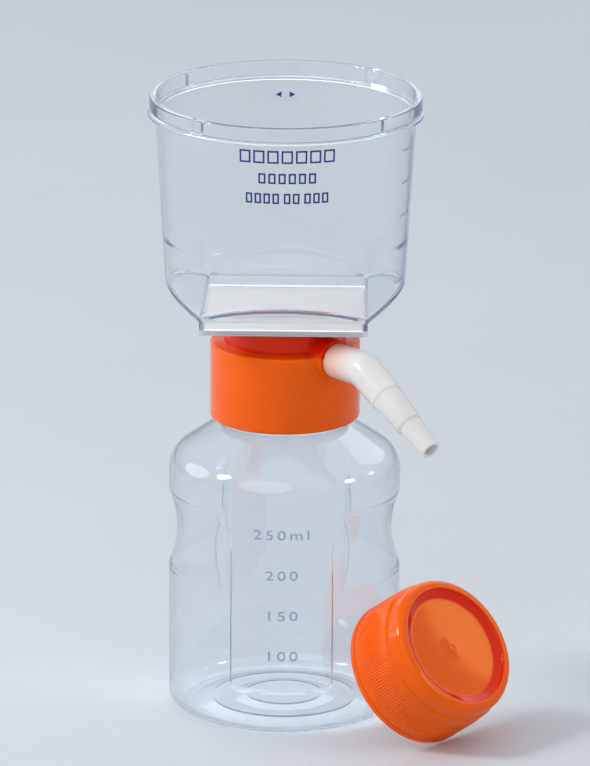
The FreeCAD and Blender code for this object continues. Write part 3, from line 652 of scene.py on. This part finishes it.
def make_cap():
    root = CAP_RADIUS - CAP_RIB
    floor = CAP_HEIGHT - CAP_RECESS_DEPTH
    ceiling = floor - CAP_PANEL
    rib_bottom, rib_top = CAP_BEAD + 0.3, CAP_SKIRT - 0.3
    round_centre, round_base = CAP_CROWN - CAP_CROWN_ROUND, CAP_HEIGHT - CAP_CROWN_ROUND
    skirt = [
        (0, ceiling),
        (CAP_BORE, ceiling, 0.6),
        (CAP_BORE, 0, 0.3),
        (CAP_RADIUS, 0, 0.5),
        (CAP_RADIUS, CAP_BEAD, 0.35),
        (root, CAP_BEAD, 0.1),
        (root, CAP_SKIRT, 0.3),
        (CAP_CROWN, CAP_SKIRT + root - CAP_CROWN, 0.5),
        (CAP_CROWN, round_base),
    ]
    crown = [
        Vector((round_centre + CAP_CROWN_ROUND * math.cos(a), round_base + CAP_CROWN_ROUND * math.sin(a)))
        for a in [math.radians(9 * k) for k in range(1, 10)]
    ]
    recess = [
        (round_centre, CAP_HEIGHT),
        (CAP_RECESS, CAP_HEIGHT, CAP_CROWN_EDGE),
        (CAP_RECESS - 0.3, CAP_HEIGHT - CAP_CROWN_EDGE, 0.6),
        (CAP_RECESS_FLOOR, floor, 0.8),
        (CAP_RECESS_FLOOR - 1.2, floor),
        (1.6, floor, 0.15),
        (1.3, floor + 0.25, 0.1),
        (0.7, floor + 0.25, 0.1),
        (0.5, floor - 0.1),
        (0, floor - 0.1),
    ]
    path = divided(rounded(skirt, 6) + crown + rounded(recess, 6), 4.0)

    def place(point, angle):
        radius, height = point
        if abs(radius - root) < 0.02:
            cover = smooth_step(rib_bottom - 0.15, rib_bottom + 0.35, height)
            cover *= 1 - smooth_step(rib_top - 0.5, rib_top, height)
            wave = (angle * CAP_RIBS / TAU) % 1
            radius += CAP_RIB_HEIGHT * cover * (1 - abs(2 * wave - 1))
        return turned(radius, height, angle)

    def recess_shade_mask(radius):
        """1 on the recess's sloping wall, where shade is painted, and 0 on its floor and on the crown."""
        beside = smooth_step(CAP_RECESS_FLOOR - 0.5, CAP_RECESS_FLOOR + 0.1, radius)
        return beside * (1 - smooth_step(CAP_RECESS - 0.1, CAP_RECESS + 0.5, radius))

    mesh = skin("cap", path, even_angles(CAP_RIBS * 4), place, closed=False, poles=True)
    # Painted shade: the recess's sloping wall is marked to be painted deeper red.
    painted_shade = mesh.attributes.new("painted_shade", "FLOAT", "POINT")
    for vertex, value in zip(mesh.vertices, painted_shade.data):
        x, y, z = vertex.co / MM
        value.value = 0.0 if z < floor - 0.05 else recess_shade_mask(math.hypot(x, y))
    mesh.transform(cap_matrix())
    piece = new_piece("cap_moulding", mesh, "bottle", cap_orange, 30.0)
    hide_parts("cap")


make_cap()


# ---------------------------------------------------------------- hose connector


def hose_radius(along):
    """The connector's outside before its first shoulder: level, then tapering past the elbow's corner."""
    first_end, first_small = HOSE_FIRST
    if along <= 0:
        return HOSE_LEVEL_RADIUS
    return HOSE_LEVEL_RADIUS + (first_small - HOSE_LEVEL_RADIUS) * along / first_end


def make_connector():
    towards, slope = math.radians(PORT_ANGLE), math.radians(HOSE_SLOPE)
    level = Vector((math.cos(towards), math.sin(towards), 0))
    side = Vector((-math.sin(towards), math.cos(towards), 0))
    elbow = level * HOSE_LEVEL_END + Vector((0, 0, PORT_HEIGHT))
    cut_back = HOSE_BEND * math.tan(slope / 2)

    def centre_line(along):
        """Point and direction at a distance past the elbow's corner, round a bend."""
        if along < -cut_back:
            return elbow + level * along, level
        if along > cut_back:
            direction = level * math.cos(slope) - Vector((0, 0, math.sin(slope)))
            return elbow + direction * along, direction
        turn = slope * (along + cut_back) / (2 * cut_back)
        direction = level * math.cos(turn) - Vector((0, 0, math.sin(turn)))
        start = elbow - level * cut_back
        shift = level * math.sin(turn) - Vector((0, 0, 1 - math.cos(turn)))
        return start + shift * HOSE_BEND, direction

    # Distance along the centre line, radius and rounding: out over the stages and back along the bore.
    face = HOSE_FACE - HOSE_LEVEL_END
    stub, bend_step = face - SPOUT_LENGTH, 0.8
    (first_end, first_small), (second_end, second_large, second_small) = HOSE_FIRST, HOSE_SECOND
    tip_end, tip_large, tip_small = HOSE_TIP
    corners = [(stub, HOSE_BORE), (stub, SPOUT_RADIUS, 0.3), (face, SPOUT_RADIUS, 0.1)]
    corners += [(face, HOSE_LEVEL_RADIUS, 0.35)]
    corners += [(k * bend_step, hose_radius(k * bend_step)) for k in range(-6, 15)]
    corners += [(first_end, first_small, 0.4), (first_end + 0.5, second_large, 0.5)]
    corners += [(second_end, second_small, 0.5), (second_end + 0.6, tip_large, 0.6)]
    corners += [(tip_end, tip_small, 0.35), (tip_end, HOSE_BORE, 0.25), (tip_end - 2, HOSE_BORE)]
    corners += [(k * bend_step, HOSE_BORE) for k in range(9, -8, -1)]
    path = divided(rounded(corners), 2.5)

    def place(point, angle):
        centre, direction = centre_line(point[0])
        over = side.cross(direction)
        return centre + (side * math.cos(angle) + over * math.sin(angle)) * point[1]

    mesh = skin("connector", path, even_angles(96), place, closed=True)
    piece = new_piece("connector_moulding", mesh, "connector", white_plastic, 40.0)
    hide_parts("hose_connector")


make_connector()


# ---------------------------------------------------------------- carried-over solids


def dress(node, material):
    """Gives a solid that the scene keeps its material."""
    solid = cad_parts[node]
    solid.data.materials.clear()
    solid.data.materials.append(material)


dress("collar", collar_orange)
dress("filter_base", base_plastic)
dress("membrane", membrane_material)
dress("seal_ring", seal_material)


# ---------------------------------------------------------------- print and relief


def cup_surface(height):
    return CUP_FOOT_RADIUS + TAPER * (height - FACET_BOTTOM) + SURFACE_GAP


def wrapped_box(work, angle, height, wide, tall, thick):
    """A thin block bent round the cup's wall, with its middle at this angle and height."""
    steps = max(1, math.ceil(wide))
    columns = []
    for k in range(steps + 1):
        turn = angle + (k / steps - 0.5) * wide / cup_surface(height)
        column = []
        for z in (height - tall / 2, height + tall / 2):
            for out in (0, thick):
                column.append(work.verts.new(Vector(turned(cup_surface(z) + out, z, turn)) * MM))
        columns.append(column)
    for first, second in zip(columns, columns[1:]):
        for a, b in ((0, 1), (1, 3), (3, 2), (2, 0)):
            work.faces.new((first[a], first[b], second[b], second[a]))
    for column in (columns[0], columns[-1]):
        work.faces.new((column[0], column[1], column[3], column[2]))


def block_piece(name, blocks, material, thick):
    """One piece on the cup out of blocks: each one's angle, height, width and height of its own."""
    work = bmesh.new()
    for angle, height, wide, tall in blocks:
        wrapped_box(work, math.radians(angle), height, wide, tall, thick)
    new_piece(name, finished_mesh(work, name), "filter_head", material)


def outlined(angle, height, wide, tall):
    """A plain block drawn as four printed lines."""
    out = math.degrees((wide - INK_LINE) / 2 / cup_surface(height))
    lines = [(angle + side * out, height, INK_LINE, tall) for side in (-1, 1)]
    for end in (-1, 1):
        lines.append((angle, height + end * (tall - INK_LINE) / 2, wide - 2 * INK_LINE, INK_LINE))
    return lines


def printed_row(height, tall, groups, wide, gap):
    """A row of plain blocks: groups of so many blocks, with a wider gap between."""
    widths = []
    for count in groups:
        widths += [wide] * count + [-gap]
    total = sum(abs(w) for w in widths[:-1]) + gap * (sum(groups) - 1)
    start, row = -total / 2, []
    for width in widths:
        if width > 0:
            turn = math.degrees((start + width / 2) / cup_surface(height))
            row += outlined(FRONT + PRINT_ANGLE + turn, height, width, tall)
        start += abs(width) + (gap if width > 0 else 0)
    return row


def make_scale_and_print():
    """The raised scale marks on the right and the printed blocks in front."""
    heights = [SCALE_BOTTOM + SCALE_STEP * k for k in range(SCALE_MARKS)]
    marks_angle = SCALE_ANGLE + SCALE_MARK_TURN
    scale = [(marks_angle, height, SCALE_MARK_LENGTH, SCALE_LINE) for height in heights]
    scale += [(SCALE_ANGLE, (heights[0] + heights[-1]) / 2, SCALE_LINE, SCALE_STAFF_HEIGHT)]
    block_piece("cup_scale", scale, relief_plastic, SCALE_THICK)
    rows = [block for row in PRINT_ROWS for block in printed_row(*row)]
    block_piece("cup_print", rows, ink, INK_THICK)


make_scale_and_print()


def make_arrows():
    """Two small printed arrowheads on the cup's back, pointing apart."""
    work = bmesh.new()
    radius = cup_surface(ARROW_HEIGHT)
    for side in (-1, 1):
        tip, flat = side * ARROW_TIP, side * ARROW_FLAT
        ring = []
        for along, up in ((tip, 0), (flat, ARROW_HALF_WIDTH), (flat, -ARROW_HALF_WIDTH)):
            angle = math.radians(ARROW_ANGLE) + along / radius
            for out in (0, INK_THICK):
                ring.append(work.verts.new(Vector(turned(radius + out, ARROW_HEIGHT + up, angle)) * MM))
        inner, outer = ring[0::2], ring[1::2]
        work.faces.new(inner)
        work.faces.new(outer)
        for k in range(3):
            after = (k + 1) % 3
            work.faces.new((inner[k], inner[after], outer[after], outer[k]))
    new_piece("cup_arrows", finished_mesh(work, "arrows"), "filter_head", ink)


make_arrows()


def number_mesh(name, text):
    """The number's flat letters, standing upright on the XY plane."""
    curve = bpy.data.curves.new(name, "FONT")
    curve.body = text
    curve.size = NUMBER_TALL * FONT_SHARE * MM
    curve.align_x = "CENTER"
    curve.align_y = "CENTER"
    curve.extrude = NUMBER_THICK / 2 * MM
    curve.space_character = NUMBER_SPACING
    curve.resolution_u = 4
    holder = bpy.data.objects.new(name, curve)
    bpy.context.scene.collection.objects.link(holder)
    bpy.context.view_layer.update()
    mesh = bpy.data.meshes.new_from_object(holder)
    bpy.data.objects.remove(holder)
    return mesh


def raised_number(text, height):
    """A raised number bent round the front panel, seated on its wall."""
    name = "bottle_number_" + text
    mesh = number_mesh(name, text)
    facing = math.radians(FRONT)
    base = BOTTLE_RADIUS - panel_depth(height, facing + TAU) + NUMBER_THICK / 2 + SURFACE_GAP
    for vertex in mesh.vertices:
        x, y, z = (v / MM for v in vertex.co)
        angle = facing + x * NUMBER_STRETCH / base
        vertex.co = Vector(turned(base + z, height + y, angle)) * MM
    new_piece(name, mesh, "bottle", relief_plastic)


for text, height in NUMBERS:
    raised_number(text, height)


# ---------------------------------------------------------------- floor, light and camera


def plain_floor():
    """A wide, pale, dull floor, a hair below the unit."""
    work = bmesh.new()
    bmesh.ops.create_grid(work, x_segments=1, y_segments=1, size=FLOOR_HALF_SIDE)
    mesh = bpy.data.meshes.new("floor")
    work.to_mesh(mesh)
    work.free()
    floor = bpy.data.objects.new("floor", mesh)
    bpy.context.scene.collection.objects.link(floor)
    floor.location.z = -FLOOR_GAP * MM
    nodes = new_material("floor_paper")
    pale = nodes.tint(nodes.noise(6.0), (0.60, 0.64, 0.68), (0.62, 0.66, 0.70))
    shader = nodes.principled({"Base Color": pale, "Roughness": 0.7, "Specular IOR Level": 0.1})
    mesh.materials.append(nodes.finish(shader))


def area_light(name, place, target, size, power, colour=(1, 1, 1)):
    """A soft lamp with an oval face of this width and height, aimed at target. Metres and watts."""
    lamp = bpy.data.lights.new(name, "AREA")
    lamp.shape = "ELLIPSE"
    lamp.size, lamp.size_y = size
    lamp.energy = power
    lamp.color = colour
    holder = bpy.data.objects.new(name, lamp)
    bpy.context.scene.collection.objects.link(holder)
    holder.location = place
    holder.rotation_euler = (Vector(target) - Vector(place)).to_track_quat("-Z", "Y").to_euler()


def studio_world():
    """A pale backdrop, paler overhead, for the camera and for what plastic mirrors or bends, and soft light
    besides."""
    world = bpy.data.worlds.new("studio")
    bpy.context.scene.world = world
    nodes = Nodes(world, "ShaderNodeOutputWorld")
    around = nodes.add("ShaderNodeTexCoord").outputs["Generated"]
    up = nodes.add("ShaderNodeSeparateXYZ", {"Vector": around}).outputs["Z"]

    def sky(colour, low_strength, high_strength, start, end):
        strength = nodes.between(up, low_strength, high_strength, start, end)
        made = nodes.add("ShaderNodeBackground", {"Color": (*colour, 1), "Strength": strength})
        return made.outputs["Background"]

    def either_ray(first, second):
        return nodes.add("ShaderNodeMath", {0: first, 1: second}, operation="MAXIMUM").outputs[0]

    ambient = sky((0.92, 0.95, 1.0), 0.38, 0.62, -0.1, 0.9)
    pale = sky((0.55, 0.59, 0.63), 1.0, 1.55, 0.0, 0.8)
    light = nodes.add("ShaderNodeLightPath").outputs
    seen = either_ray(light["Is Camera Ray"], light["Is Glossy Ray"])
    shown = either_ray(seen, light["Is Transmission Ray"])
    nodes.finish(nodes.either(shown, ambient, pale))


def make_camera():
    elevation, azimuth = math.radians(CAMERA_ELEVATION), math.radians(CAMERA_AZIMUTH)
    level = math.cos(elevation)
    back = Vector((math.sin(azimuth) * level, -math.cos(azimuth) * level, math.sin(elevation)))
    right = Vector((math.cos(azimuth), math.sin(azimuth), 0))
    target = Vector((0, 0, CAMERA_TARGET_HEIGHT)) + right * CAMERA_TARGET_RIGHT
    data = bpy.data.cameras.new("camera")
    data.sensor_width = 36.0
    data.lens = data.sensor_width * PIXELS_PER_MM * CAMERA_DISTANCE / IMAGE_LONG_SIDE
    data.clip_start, data.clip_end = 0.1, 60.0
    holder = bpy.data.objects.new("camera", data)
    bpy.context.scene.collection.objects.link(holder)
    aim = (-back).to_track_quat("-Z", "Y").to_matrix().to_4x4()
    roll = Matrix.Rotation(math.radians(CAMERA_ROLL), 4, "Z")
    holder.matrix_world = Matrix.Translation((target + back * CAMERA_DISTANCE) * MM) @ (aim @ roll)
    bpy.context.scene.camera = holder


plain_floor()
studio_world()
area_light("key", (-1.2, -0.32, 1.12), (0, 0, 0.1), (0.3, 0.5), 12.0)
area_light("front", (-0.5, -1.4, 1.0), (0, 0, 0.1), (1.6, 1.6), 5.2)
area_light("left", (-1.3, 0.4, 0.65), (0, 0, 0.12), (0.9, 0.8), 2.6)
area_light("right", (1.35, -0.36, 0.78), (0, 0, 0.1), (0.3, 0.3), 2.5)
area_light("back", (0.3, 1.3, 1.1), (0, 0, 0.12), (2.2, 1.2), 4.0)
# A small warm lamp for the gleam on the cap.
CAP_SHEEN_PLACE, CAP_SHEEN_TARGET = (0.555, 0.136, 0.313), (0.0545, -0.0423, 0.0324)
area_light("cap_sheen", CAP_SHEEN_PLACE, CAP_SHEEN_TARGET, (0.0753, 0.0753), 0.049, (1.0, 0.6, 0.25))
make_camera()
bpy.context.scene.view_settings.view_transform = "Standard"
